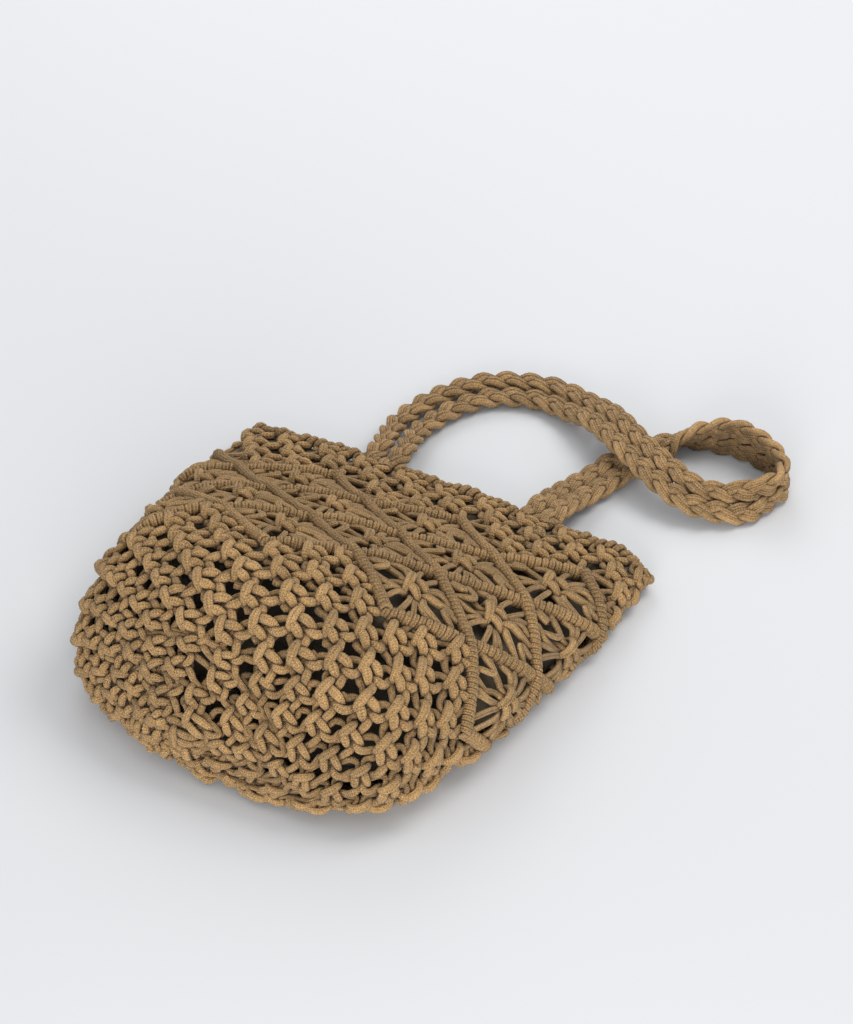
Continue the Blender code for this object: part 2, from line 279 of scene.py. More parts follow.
    def place(self, c, v, h):
        """Points at strand c, distance v and height h over the outer face."""
        c, v, h = (np.asarray(a, float) for a in (c, v, h))
        thin = MOUTH_SHARE + (1 - MOUTH_SHARE) * np.clip(v / MOUTH_FADE, 0, 1)
        h = np.where(h < 0, h * thin, h)
        h = h - BASE_SUNK * np.clip((v - SUNK_FROM) / SUNK_OVER, 0, 1)
        p = self.sample(self.grid, c, v)
        p = p + self.sample(self.normal, c, v) * h[..., None]
        p[..., 1] -= np.minimum(v, 0.0)
        corner = np.clip((p[..., 0] - CORNER_START) / CORNER_WIDE, 0, 1) ** 2
        p[..., 1] -= CORNER_CUT * (corner * np.clip(1 - v / CORNER_FADE, 0, 1))
        z = p[..., 2]
        squeezed = SOFT_BELOW * np.exp(np.clip((z - SOFT_BELOW) / SOFT_BELOW, -8, 0))
        p[..., 2] = np.where(z < SOFT_BELOW, squeezed, z)
        return p

    def scale(self, c, v):
        """Millimetres to one strand width and to one nominal millimetre at a place."""
        c = np.atleast_1d(float(c))
        v = np.atleast_1d(float(v))
        return [float(self.sample(table, c, v)[0]) for table in (self.per_strand, self.per_mm)]


skin = Skin()


def zigzag(c, at_whole, at_half):
    """Straight-sided zigzag around the bag, between its values at and between the corners."""
    turn = np.asarray(c, float) / (STRANDS / DIAMONDS)
    return at_whole + (at_half - at_whole) * np.abs(turn - np.round(turn)) * 2


def band_top(c):
    return zigzag(c, TOP_PEAK, ROW_ZERO - HALF_ROW)


def band_bottom(c):
    return zigzag(c, ROW_ZERO + 2 * HALF_ROW, ROW_ZERO + 3 * HALF_ROW)


# ---------------- tubes
CORD_STEP = 1.9  # between a cord's points
FINE = 9  # points worked out between two given ones


def between(x, ta, tb, a, b):
    return (tb - x) / (tb - ta) * a + (x - ta) / (tb - ta) * b


def smooth_line(points, step):
    """A rounded line (centripetal Catmull-Rom) through points, with a point every step."""
    p = np.asarray(points, float)
    seg = np.linalg.norm(np.diff(p[:, :3], axis=0), axis=1) ** 0.5
    t = np.concatenate([[0], np.cumsum(np.maximum(seg, 1e-6))])
    first = 2 * p[0] - p[1]
    last = 2 * p[-1] - p[-2]
    q = np.vstack([first, p, last])
    tt = np.concatenate([[t[0] - (t[1] - t[0])], t, [t[-1] + (t[-1] - t[-2])]])
    out = []
    for k in range(1, len(q) - 2):
        p0, p1, p2, p3 = q[k - 1:k + 3]
        t0, t1, t2, t3 = tt[k - 1:k + 3]
        x = np.linspace(t1, t2, FINE)[:-1, None]
        a1 = between(x, t0, t1, p0, p1)
        a2 = between(x, t1, t2, p1, p2)
        a3 = between(x, t2, t3, p2, p3)
        b1 = between(x, t0, t2, a1, a2)
        b2 = between(x, t1, t3, a2, a3)
        out.append(between(x, t1, t2, b1, b2))
    out = np.vstack(out + [p[-1:]])
    run = way(out[:, :3])
    n = max(3, int(math.ceil(run[-1] / step)) + 1)
    return resampled(out, run, np.linspace(0, run[-1], n))


class Cords:
    """Collects cords and turns them into one mesh with UVs, shade numbers and heights."""

    def __init__(self, name, sides=7):
        self.name = name
        self.sides = sides
        self.verts = []
        self.quads = []
        self.uvs = []
        self.shade = []
        self.height = []
        self.caps = []
        self.points = 0

    def add(self, line, radius, height, out, squash=1.0, up=None, sides=None):
        """One cord. height and out are the line's heights over the net's face and its outward
        directions; up steers the cord's own cross-section, which squash flattens."""
        n = len(line)
        m = sides or self.sides
        tangent = unit(np.gradient(line, axis=0))
        square = np.eye(3)[np.argmin(np.abs(tangent[0]))]
        side = np.cross(tangent, square if up is None else up)
        size = np.linalg.norm(side, axis=1)
        for k in range(n):
            last = side[k - 1] if k else np.cross(tangent[0], square)
            if k and side[k] @ last < 0:
                side[k] = -side[k]
            kept = last - tangent[k] * (last @ tangent[k])
            side[k] = side[k] + kept * max(0.0, 0.6 - size[k])
            side[k] /= max(np.linalg.norm(side[k]), 1e-9)
        top = np.cross(side, tangent)
        run = way(line)
        radius = np.broadcast_to(radius, (n,))
        turn = 2 * np.pi * np.arange(m) / m
        ring = line[:, None, :] + side[:, None, :] * (np.cos(turn) * radius[:, None])[..., None] \
            + top[:, None, :] * (np.sin(turn) * radius[:, None] * squash)[..., None]
        first = self.points
        self.verts.append(ring.reshape(-1, 3))
        k = np.arange(n - 1)[:, None] * m
        j = np.arange(m)[None, :]
        j1 = (j + 1) % m
        quad = np.stack([k + j, k + m + j, k + m + j1, k + j1], -1).reshape(-1, 4)
        self.quads.append(quad + first)
        shift = float(rng.random() * 100)
        u = np.stack([j, j, j + 1, j + 1], -1) / m
        v = np.stack([run[:-1], run[1:], run[1:], run[:-1]], -1)[:, None] + shift
        self.uvs.append(np.stack(np.broadcast_arrays(u, v), -1).reshape(-1, 2))
        self.shade.append(np.full(n * m, rng.random()))
        out = np.broadcast_to(out, (n, 3))[:, None, :]
        tall = np.sum((ring - line[:, None, :]) * out, axis=2)
        self.height.append((tall + np.broadcast_to(height, (n,))[:, None]).ravel())
        self.caps.append((first, m, n, shift))
        self.points += n * m

    def build(self, mat):
        """The mesh of all the cords, in metres, with closed ends."""
        verts = np.vstack(self.verts)
        low = np.minimum(verts[:, 2] - PRESSED, 0.0)
        verts[:, 2] = np.where(low < 0, PRESSED * np.exp(low / PRESSED), verts[:, 2])
        verts = (verts - ORIGIN) * MM
        quads = np.vstack(self.quads)
        caps = []
        cap_uv = []
        for first, m, n, shift in self.caps:
            caps.append(np.arange(first + m - 1, first - 1, -1))
            caps.append(np.arange(first + (n - 1) * m, first + n * m))
            cap_uv += [[0.5, shift]] * (2 * m)
        sizes = np.concatenate([np.full(len(quads), 4), [len(f) for f in caps]])
        loops = np.concatenate([quads.ravel(), *caps])
        mesh = bpy.data.meshes.new(self.name)
        mesh.vertices.add(len(verts))
        mesh.vertices.foreach_set("co", verts.ravel())
        mesh.loops.add(len(loops))
        mesh.loops.foreach_set("vertex_index", loops.astype(np.int32))
        mesh.polygons.add(len(sizes))
        starts = np.concatenate([[0], np.cumsum(sizes)[:-1]]).astype(np.int32)
        mesh.polygons.foreach_set("loop_start", starts)
        mesh.update(calc_edges=True)
        mesh.validate()
        return finish_mesh(mesh, mat, np.vstack([*self.uvs, cap_uv]),
                           shade=np.concatenate(self.shade), height=np.concatenate(self.height))


def new_object(name, data):
    obj = bpy.data.objects.new(name, data)
    scene.collection.objects.link(obj)
    return obj


def finish_mesh(mesh, mat, uvs, **values):
    """An object with smooth shading, UVs by corner and named numbers by vertex."""
    layer = mesh.uv_layers.new(name="cord")
    layer.data.foreach_set("uv", np.asarray(uvs, np.float32).ravel())
    mesh.polygons.foreach_set("use_smooth", np.ones(len(mesh.polygons), bool))
    for name, numbers in values.items():
        attr = mesh.attributes.new(name, "FLOAT", "POINT")
        attr.data.foreach_set("value", np.asarray(numbers, np.float32))
    mesh.materials.append(mat)
    mesh.update()
    return new_object(mesh.name, mesh)


# ---------------- knots
# One square knot, seen from outside with the mouth up: q to the right, t towards the base,
# h outwards and the cord's radius (mm), from the middle of the upright loop.
KNOT_A = (
    (-6.5, -4.2, -0.8, 2.1), (-3.8, -2.3, 0.0, 2.0), (-0.9, -1.9, 1.6, 2.0), (2.2, -2.7, 4.2, 2.5),
    (5.6, -3.8, 4.8, 2.75), (8.8, -4.3, 2.8, 2.3), (11.2, -3.2, -1.6, 1.8), (12.1, 0.0, -3.4, 1.7),
    (11.6, 3.3, -1.8, 1.8), (10.0, 4.9, 2.2, 2.2), (6.8, 4.3, 4.8, 2.75), (3.0, 3.4, 4.4, 2.55),
    (-0.6, 2.2, 1.6, 2.0), (-3.7, 2.3, -0.6, 1.9), (-5.8, 4.6, -1.6, 2.2), (-7.0, 7.8, -1.4, 2.3))
KNOT_B = (
    (15.1, -6.0, 1.2, 2.4), (14.3, -2.6, 2.8, 2.65), (11.6, -0.9, 2.8, 2.35), (8.8, -0.7, 0.4, 1.9),
    (5.0, -0.8, -3.2, 1.7), (0.0, -1.8, -4.2, 1.7), (-2.8, -4.6, -2.4, 1.8), (-2.6, -6.6, 1.0, 1.9),
    (-1.4, -4.3, 5.0, 2.5), (0.1, -0.2, 6.6, 2.85), (1.7, 4.2, 5.0, 2.5), (2.5, 6.6, 1.0, 1.9),
    (2.0, 4.8, -2.8, 1.7), (5.0, 1.6, -3.6, 1.7), (9.0, 1.7, -0.9, 1.9), (12.2, 2.2, 1.2, 2.3),
    (14.7, 5.6, 2.2, 2.55), (16.4, 9.2, 1.2, 2.3))
KNOT_F1 = (
    (3.6, -5.2, 0.4, 2.1), (3.3, -2.4, -0.6, 2.0), (2.6, 1.2, -0.9, 2.0), (1.8, 4.4, -1.0, 2.0),
    (1.3, 7.0, -0.6, 2.2))
KNOT_F2 = (
    (6.3, -6.8, -1.0, 2.2), (6.8, -3.6, -0.9, 2.0), (6.2, 0.0, -1.1, 2.0), (5.0, 3.6, -1.2, 2.0),
    (4.7, 6.6, -1.0, 2.2), (5.7, 9.2, -0.8, 2.4))
KNOT_PATHS = {"A": KNOT_A, "B": KNOT_B, "F1": KNOT_F1, "F2": KNOT_F2}
# each path runs on to a knot of the next row, 0 left or 1 right, and to a path of it
KNOT_LINKS = {"A": (0, "F2"), "F1": (0, "B"), "F2": (1, "A"), "B": (1, "F1")}
KNOT_HEIGHT = 0.85  # share of the heights above
KNOT_MIDDLE = 4.6  # q of the knot's middle
KNOT_ROOM = 27.0  # room for one knot at its full size
KNOT_SIZES = (0.94, 1.12)  # smallest and largest share of that size
NET_DEPTH = 6.8  # the knots' middle under the net's outer face
POLE_ZONE = 34.0  # nearer the pole than this a knot keeps its shape across it
LINK_NEAR = 1.2  # strand widths from a knot's strand to the knot that it joins
LINK_FAR = 5.0  # the same where the next row has fewer knots
LOOSE_R = 2.2  # radius of a strand between knots


class Knot:
    """One square knot at a place on the bag, a little uneven."""

    def __init__(self, c, v, size=1.0, jitter=1.0):
        self.c = c
        self.v = v
        per_strand, per_mm = skin.scale(c, v)
        size *= min(max(4 * per_strand / KNOT_ROOM, KNOT_SIZES[0]), KNOT_SIZES[1])
        self.kc = size / per_strand
        self.kv = size / max(per_mm, 0.2)
        self.size = size
        self.tilt = rng.normal(0, 0.09) * jitter
        self.shift = rng.normal(0, 0.45, 3) * jitter
        self.stretch = 1 + rng.normal(0, 0.05, 2) * jitter
        self.links = {}
        self.taken = set()

    def at(self, name):
        """One of the knot's paths as (strand, distance, height, radius) points."""
        p = np.asarray(KNOT_PATHS[name], float)
        q = (p[:, 0] - KNOT_MIDDLE) * self.stretch[0] + self.shift[0]
        t = p[:, 1] * self.stretch[1] + self.shift[1]
        ct = math.cos(self.tilt)
        st = math.sin(self.tilt)
        q, t = q * ct - t * st, q * st + t * ct
        h = p[:, 2] * KNOT_HEIGHT * self.size - NET_DEPTH + self.shift[2]
        left = skin.v_max - self.v
        if left < POLE_ZONE:
            inward = left - t * self.size
            c = self.c + np.arctan2(q * self.size, inward) * STRANDS / (2 * np.pi)
            v = skin.v_max - np.hypot(inward, q * self.size)
        else:
            c = self.c + q * self.kc
            v = self.v + t * self.kv
        return np.stack([c, v, h, p[:, 3] * self.size], 1)


def add_cord(cords, points, squash=0.9):
    """A cord through (strand, distance, height, radius) points, laid on the bag and rounded."""
    p = np.asarray(points, float)
    on_skin = skin.place(*p[:, :3].T)
    out = skin.sample(skin.normal, p[:, 0], np.maximum(p[:, 1], 0))
    line = smooth_line(np.column_stack([on_skin, p[:, 3], p[:, 2], out]), CORD_STEP)
    cords.add(line[:, :3], line[:, 3], line[:, 4], line[:, 5:], squash=squash, up=line[:, 5:])


def nearest_turn(a, b):
    """Strand widths from b to a, the short way around."""
    return (a - b + STRANDS / 2) % STRANDS - STRANDS / 2


def link_rows(rows):
    """Join every knot to the nearest free knots of the next row, left and right."""
    for upper, lower in zip(rows, rows[1:]):
        for knot in upper:
            for side in (0, 1):
                names = [n for n, where in KNOT_LINKS.items() if where[0] == side]
                want = knot.c + (2.0 if side else -2.0)
                near = sorted((abs(nearest_turn(k.c, want)), i) for i, k in enumerate(lower))
                limit = LINK_NEAR if len(lower) >= len(upper) else LINK_FAR
                for away, i in near[:2]:
                    child = lower[i]
                    ports = [KNOT_LINKS[n][1] for n in names]
                    if away < limit and not child.taken.intersection(ports):
                        child.taken.update(ports)
                        for name in names:
                            knot.links[name] = (child, KNOT_LINKS[name][1])
                        break


def turn_to(points, last):
    """The same points, counted around from the strand number where the last path ended."""
    points = points.copy()
    points[:, 0] += round((last - points[0, 0]) / STRANDS) * STRANDS
    return points


def net_cords(pieces, rows, before, after):
    """Follow every strand from where it comes in, through knot after knot; strands are
    shared out to the pieces by where they start."""
    for row in rows:
        for knot in row:
            for name in KNOT_PATHS:
                if name in knot.taken:
                    continue
                path = knot.at(name)
                path = np.vstack([before(path[0]), path])
                here = (knot, name)
                while here[1] in here[0].links:
                    here = here[0].links[here[1]]
                    path = np.vstack([path, turn_to(here[0].at(here[1]), path[-1, 0])])
                path = np.vstack([path, after(path[-1])])
                share = int(path[0, 0] % STRANDS / STRANDS * len(pieces))
                add_cord(pieces[share], path)


def full_row(v, phase, keep):
    """Knots all around at one distance, every second row half a knot further on."""
    places = 4 * np.arange(KNOTS_AROUND) + 2 * (phase % 2)
    return [Knot(c, v) for c in places if keep(c)]


# ---------------- materials
CORD_COLOUR = (0.322, 0.192, 0.0775)
HANDLE_COLOUR = (0.325, 0.195, 0.082)
# stops of the tone ramp as shares of the cord colour, spanning painted shade, painted highlight and
# random tone
TONES = ((0.15, 0.34), (0.45, 0.80), (0.62, 1.08), (0.92, 1.75))
LINING_TONES = ((0.25, (0.26, 0.195, 0.125)), (0.8, (0.42, 0.33, 0.22)))
THREAD = 0.9  # between the cloth's threads (mm)
# painted shade: shares of the colour that are left in narrow crevices (metres) and deep in the net
# (mm)
CREVICE = 0.0030
CREVICE_SHADE = ((0.10, (0.10, 0.085, 0.07)), (0.42, (0.42, 0.36, 0.30)),
                 (0.70, (0.92, 0.90, 0.87)), (0.85, (1.10, 1.10, 1.10)))
DEEPEST = 12
DEEP_RANGE = 14
DEEP_SHADE = ((0.0, (0.14, 0.12, 0.10)), (0.22, (0.30, 0.27, 0.23)),
              (0.42, (0.80, 0.78, 0.75)), (0.62, (1.0, 1.0, 1.0)))


class Nodes:
    """Short names for building a material's node tree."""

    def __init__(self, name):
        self.mat = bpy.data.materials.new(name)
        self.mat.use_nodes = True
        self.tree = self.mat.node_tree
        self.shader = self.tree.nodes["Principled BSDF"]

    def feed(self, socket, value):
        if isinstance(value, bpy.types.NodeSocket):
            self.tree.links.new(value, socket)
        else:
            socket.default_value = value

    def node(self, kind, inputs=None, **values):
        """A new node with its values set and its inputs fed, by name or number."""
        node = self.tree.nodes.new(kind)
        for key, value in values.items():
            setattr(node, key, value)
        for key, value in (inputs or {}).items():
            self.feed(node.inputs[key], value)
        return node

    def finish(self, inputs):
        """Feed the shader's inputs by name."""
        for name, value in inputs.items():
            self.feed(self.shader.inputs[name], value)
        return self.mat

    def math(self, operation, *values):
        node = self.node("ShaderNodeMath", dict(enumerate(values)), operation=operation)
        return node.outputs[0]

    def add(self, a, *others):
        for b in others:
            a = self.math("ADD", a, b)
        return a

    def mul(self, a, b):
        return self.math("MULTIPLY", a, b)

    def from_half(self, a):
        return self.math("SUBTRACT", a, 0.5)

    def folded(self, a, count):
        """Up and down between 0 and a half, count times while a runs from 0 to 1."""
        return self.math("ABSOLUTE", self.from_half(self.math("FRACT", self.mul(a, count))))

    def attribute(self, name):
        return self.node("ShaderNodeAttribute", attribute_name=name).outputs["Fac"]

    def cord_uv(self):
        """Around the cord and along it."""
        uv = self.node("ShaderNodeUVMap", uv_map="cord").outputs[0]
        return self.node("ShaderNodeSeparateXYZ", {0: uv}).outputs[:2]

    def noise(self, scale, detail, rough):
        place = self.node("ShaderNodeTexCoord").outputs["Object"]
        inputs = {"Vector": place, "Scale": scale, "Detail": detail, "Roughness": rough}
        return self.node("ShaderNodeTexNoise", inputs).outputs[0]

    def ramp(self, value, stops):
        node = self.node("ShaderNodeValToRGB", {0: value})
        while len(node.color_ramp.elements) < len(stops):
            node.color_ramp.elements.new(0.5)
        for element, (place, colour) in zip(node.color_ramp.elements, stops):
            element.position = place
            element.color = (*colour, 1)
        return node.outputs[0]

    def times(self, a, b):
        return self.node("ShaderNodeVectorMath", {0: a, 1: b}, operation="MULTIPLY").outputs[0]

    def bump(self, height, strength, distance):
        inputs = {"Strength": strength, "Distance": distance, "Height": height}
        return self.node("ShaderNodeBump", inputs).outputs[0]


def shaded(colour, share):
    return tuple(min(1.0, x * share) for x in colour)


def cord_material(name, colour, stitch, grooved):
    """Braided cotton: two halves with a groove between, slanting stitches and soft fuzz, with
    painted shade in crevices, deep in the net and between stitches, and painted highlight on the
    crowns.
    """
    n = Nodes(name)
    around, along = n.cord_uv()
    groove = n.math("SMOOTH_MIN", n.mul(n.folded(around, 2.0), 5.0), 1.0, 0.5)
    wale = n.folded(around, 8.0)
    slant = n.add(n.math("DIVIDE", along, stitch), n.mul(wale, 1.1))
    turn = n.math("SINE", n.mul(slant, 2 * math.pi))
    fine = n.noise(1700.0, 1.0, 0.6)
    speck = n.noise(780.0, 1.0, 0.6)
    broad = n.noise(55.0, 2.0, 0.5)
    knit = n.add(n.mul(n.math("MULTIPLY_ADD", turn, 0.5, 0.5), 0.6),
                 n.math("MULTIPLY_ADD", wale, -0.9, 0.45))
    height = n.add(n.mul(groove, 1.3 * grooved), knit, n.mul(speck, 0.9))
    # painted shade between stitches and in the groove and painted highlight on the crowns, with
    # random tone from noise and from each cord's number
    tone = n.add(n.math("MULTIPLY_ADD", groove, 0.28 * grooved, 0.24 * (1 - grooved)),
                 n.mul(knit, 0.34), n.mul(n.from_half(speck), 0.75),
                 n.math("MULTIPLY_ADD", fine, 0.6, -0.09), n.mul(n.from_half(broad), 0.35),
                 n.mul(n.from_half(n.attribute("shade")), 0.16))
    stops = [(at, shaded(colour, share)) for at, share in TONES]
    # painted shade: darker where a cord lies deep in the net, and darker again in narrow crevices
    # found by ambient occlusion
    deep = n.ramp(n.math("MULTIPLY_ADD", n.attribute("height"), 1 / DEEP_RANGE,
                         DEEPEST / DEEP_RANGE), DEEP_SHADE)
    crevice = n.node("ShaderNodeAmbientOcclusion", {"Distance": CREVICE}, samples=6)
    deep = n.times(deep, n.ramp(crevice.outputs["AO"], CREVICE_SHADE))
    return n.finish({
        "Base Color": n.times(n.ramp(tone, stops), deep),
        "Normal": n.bump(height, 1.0, 0.0008), "Roughness": 0.88, "Specular IOR Level": 0.22,
        "Sheen Weight": 0.22, "Sheen Roughness": 0.5, "Sheen Tint": (1.0, 0.88, 0.70, 1)})


def lining_material(name):
    """Plain woven cotton, finer than the cords, darkened by painted shade carried in the shade
    attribute.
    """
    n = Nodes(name)
    weave = n.mul(*(n.math("SINE", n.mul(axis, 2 * math.pi / THREAD)) for axis in n.cord_uv()))
    tone = n.add(n.math("MULTIPLY_ADD", weave, 0.12, 0.18), n.mul(n.noise(40.0, 3.0, 0.6), 0.7))
    # painted shade: the cloth's colour is scaled down by the shade attribute
    dim = n.node("ShaderNodeVectorMath", {0: n.ramp(tone, LINING_TONES),
                                          "Scale": n.attribute("shade")}, operation="SCALE")
    return n.finish({"Base Color": dim.outputs[0], "Normal": n.bump(weave, 0.35, 0.0002),
                     "Roughness": 0.92, "Specular IOR Level": 0.15, "Sheen Weight": 0.15})


# name, colour, length of a stitch (mm), depth of the groove
net_mat = cord_material("cotton_cord", CORD_COLOUR, 1.35, 0.25)
band_mat = cord_material("band_cord", shaded(CORD_COLOUR, 1.03), 1.2, 0.8)
handle_mat = cord_material("handle_cord", HANDLE_COLOUR, 1.25, 0.6)
lining_mat = lining_material("lining_cotton")


def finish_piece(obj, node):
    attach(obj, "root")
    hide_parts(node)
    return obj


# ---------------- rim and top net
RIM_V = 1.2
RIM_POINTS = 127
RIM_WAVE = 0.8  # the rim wanders this far from that line
RIM_HEIGHT = -4.6
RIM_CORE_R = 2.4
RIM_WRAP_R = 2.25
RIM_PITCH = 5.6
RIM_REACH = 2.6
TOP_FIRST = 10.0  # the first row of knots
TOP_ROWS = 5
TOP_CLEAR = 8.0  # a knot's middle keeps this far from the band
WIND_STEPS = 9  # points to one winding
SKIN_FINE = 0.4  # a line over the bag is worked out at these steps
SKIN_STEP = 2.0  # and given at these


def wound(cords, along, pitch, reach, radius, sides=7, squash=1.0, wander=0.0, flat=0.8):
    """A cord wound around a line, given as points, outward directions and heights."""
    centre, outward, rise = along
    run = way(centre)
    turns = max(1, int(round(run[-1] / pitch)))
    count = turns * WIND_STEPS + 1
    s = np.linspace(0, run[-1], count)
    mid = resampled(centre, run, s)
    ahead = unit(np.gradient(mid, axis=0))
    out = square_to(ahead, resampled(outward, run, s))
    side = np.cross(ahead, out)
    angle = np.linspace(0, 2 * np.pi * turns, count)
    far = reach + np.repeat(rng.normal(0, wander, turns + 1), WIND_STEPS)[:count]
    line = mid + side * (np.cos(angle) * far)[:, None] \
        + out * (np.sin(angle) * far * squash)[:, None]
    tall = np.interp(s, run, rise) + np.sum((line - mid) * out, axis=1)
    cords.add(line, radius, tall, out, squash=flat, up=line - mid, sides=sides)


def along_skin(points):
    """Points, outward directions and heights along (strand, distance, height) points."""
    p = smooth_line(points, SKIN_FINE)
    place = skin.place(*p.T)
    out = skin.sample(skin.normal, p[:, 0], np.maximum(p[:, 1], 0))
    run = way(place)
    want = np.linspace(0, run[-1], max(3, int(run[-1] / SKIN_STEP)))
    line = resampled(np.column_stack([place, out, p[:, 2]]), run, want)
    return line[:, :3], line[:, 3:6], line[:, 6]


def build_top():
    cords = Cords("top_net_cords")
    rows = []
    for r in range(TOP_ROWS):
        v = TOP_FIRST + ROW_STEP * r
        rows.append(full_row(v, r, lambda c: v < band_top(c) - TOP_CLEAR))
    link_rows(rows)

    def before(first):
        if first[1] < TOP_FIRST + 2:
            return (first[0], RIM_V + 1.5, RIM_HEIGHT - 1.0, LOOSE_R)
        return (first[0], first[1] - 6, first[2] - 1, LOOSE_R)

    def after(last):
        return (last[0], max(last[1] + 3, float(band_top(last[0])) + 1), -5.0, LOOSE_R)

    net_cords([cords], rows, before, after)
    return cords.build(net_mat)


def build_rim():
    """The cord that the strands hang from, and the loops that wrap it."""
    cords = Cords("rim_cords")
    along = along_skin([(c, RIM_V + RIM_WAVE * math.sin(c * 0.9), RIM_HEIGHT)
                        for c in np.linspace(0, STRANDS, RIM_POINTS)])
    cords.add(along[0], RIM_CORE_R, along[2] - 1, along[1], sides=6)
    wound(cords, along, RIM_PITCH, RIM_REACH, RIM_WRAP_R, wander=0.9, squash=0.8, flat=0.9)
    return cords.build(net_mat)


# ---------------- diamond band
RISING = {"pitch": 4.2, "reach": 3.0, "radius": 2.45}
FALLING = {"pitch": 3.3, "reach": 2.5, "radius": 1.95}
RIDGE_HEIGHT = 2.0 - RISING["reach"] - RISING["radius"]
RIDGE_OVER = 1.5  # where ridges cross, a falling one is lifted
RIDGE_UNDER = -1.4  # and a rising one sinks
RIDGE_SPAN = 5  # half diamonds that a ridge passes
RIDGE_FINE = 8  # points to each
RIDGE_CORE_R = 1.7
HALF_DIAMOND = STRANDS / DIAMONDS / 2


def ridge_points(first, falling):
    """One ridge from its lower end to its upper end, over or under the ridges it crosses."""
    points = []
    for k in range(RIDGE_SPAN * RIDGE_FINE + 1):
        j = k / RIDGE_FINE
        near = math.cos(math.pi * (j - round(j))) ** 6
        points.append((HALF_DIAMOND * (first + (-j if falling else j)),
                       ROW_ZERO + HALF_ROW * (3 - j),
                       RIDGE_HEIGHT + (RIDGE_OVER if falling else RIDGE_UNDER) * near))
    return points


def build_ridges():
    cords = Cords("band_ridges")
    for i in range(DIAMONDS):
        for falling in (False, True):
            along = along_skin(ridge_points(2 * i + 1, falling))
            cords.add(along[0], RIDGE_CORE_R, along[2] - 3, along[1], sides=5)
            wound(cords, along, **(FALLING if falling else RISING), sides=6, wander=0.16)
    return cords.build(band_mat)


# The butterfly of a diamond: cords that fan out from a bundle, WINGS strands to each side of
# its middle, one or two loose ones further out, and the two halves of the knot around them.
WINGS = (0.8, 1.9, 3.0)
WING_R = 2.0
WING_SQUASH = 0.88
WING_LOW = -6.2  # height of a cord's end, under the ridge
KNOT_ENDS = (("A", -4.0, -3.9), ("B", 3.6, 3.4))


def butterfly(cords, c0, v0):
    knot = Knot(c0, v0, 1.08)
    per_strand, _ = skin.scale(c0, v0)
    wobble = rng.normal(0, 1, 40)

    def edge(x, down, share, inset, height):
        """A cord's way out from under the diamond's edge, x strands from its middle. down is
        -1 at an upper edge and 1 at a lower one."""
        v = v0 + down * HALF_ROW * (1 - abs(x) / HALF_DIAMOND)
        return [(c0 + x * share, v - down * inset, height, WING_R),
                (c0 + x, v + down * 0.5, WING_LOW, WING_R)][::down]

    for side in (-1, 1):
        right = 3 * (side > 0)
        for k, offset in enumerate(WINGS):
            top = side * (offset + 0.14 * wobble[k + 3 * side + 3])
            foot = side * (offset + 0.3 * wobble[20 + k + right])
            tied = c0 + side * (0.9 + 1.7 * k) / per_strand
            bow = 0.5 * wobble[10 + k + right] / per_strand
            depth = -4.8 - 1.2 * (k % 2)
            add_cord(cords, [*edge(top, -1, 0.98, 4.5, -4.4),
                             (c0 + top * 0.62 + bow, v0 - 12.5, -2.4, WING_R),
                             (tied, v0 - 5.0, depth, WING_R), (tied, v0, depth - 0.4, WING_R),
                             (tied, v0 + 5.0, depth, WING_R),
                             (c0 + foot * 0.62 - bow, v0 + 12.5, -2.4, WING_R),
                             *edge(foot, 1, 0.98, 4.5, -4.4)], WING_SQUASH)
        loose = (4.9, 3.9) if wobble[30 + (side > 0)] > 0.2 else (4.6,)
        for k, offset in enumerate(loose):
            top = side * (offset + 0.2 * wobble[32 + k])
            foot = side * (offset - 0.3 + 0.3 * wobble[34 + k])
            bow = side * (offset - 1.5 + 0.4 * wobble[36 + k])
            add_cord(cords, [*edge(top, -1, 0.97, 3.5, -4.0),
                             (c0 + bow, v0 + 1.5 * wobble[38], -1.0, 2.3),
                             *edge(foot, 1, 0.97, 3.5, -4.0)], WING_SQUASH)
    for name, first, last in KNOT_ENDS:
        body = knot.at(name)
        body[:, 2] += 1.8
        body[:, 3] *= 0.92
        if name == "B":
            body = body[1:-1]
        add_cord(cords, [*edge(first, -1, 1.0, 4.0, -4.2), *body,
                         (c0 + last * 1.15, v0 + 11, -2.6, WING_R),
                         *edge(last, 1, 1.0, 4.0, -4.2)], WING_SQUASH)


def build_butterflies():
    cords = Cords("band_knots", sides=6)
    for j in (1, 0, -1, -2):
        for i in range(DIAMONDS):
            turn = i if j % 2 else i + 0.5
            butterfly(cords, 2 * HALF_DIAMOND * turn, ROW_ZERO - HALF_ROW * j)
    return cords.build(band_mat)


# ---------------- base net
BASE_FIRST = BASE_START - 1.5 * ROW_STEP
BASE_CLEAR = 7.0  # a knot's middle keeps this far from the band
LAST_SHARE = 0.45  # the last row stops this share of a step before the pole
CLOSEST = 19.0  # with less room for each, a row has fewer knots,
POLE_PITCH = 20.0  # one to each of these
TIGHT = 0.6  # no knots in every second row where rows are this much closer


def base_rows():
    rows = []
    for r in range(2):
        v = BASE_FIRST + r * ROW_STEP
        rows.append(full_row(v, r, lambda c: v > band_bottom(c) + BASE_CLEAR))
    first = BASE_FIRST + 2 * ROW_STEP
    left = skin.v_max - first
    count = int(round(left / ROW_STEP))
    step = left / (count + LAST_SHARE)
    around = np.arange(0, STRANDS, 2.0)
    for k in range(count):
        v = first + k * step
        pitch = 4 * float(skin.sample(skin.per_strand, around, np.full(len(around), v)).mean())
        if pitch > CLOSEST:
            rows.append(full_row(v, k, lambda c: k % 2 == 0 or skin.scale(c, v)[1] > TIGHT))
        else:
            number = max(3, int(round(KNOTS_AROUND * pitch / POLE_PITCH)))
            start = rng.random() * STRANDS
            rows.append([Knot((start + STRANDS * m / number) % STRANDS, v, 0.97, 1.8)
                         for m in range(number)])
    return rows


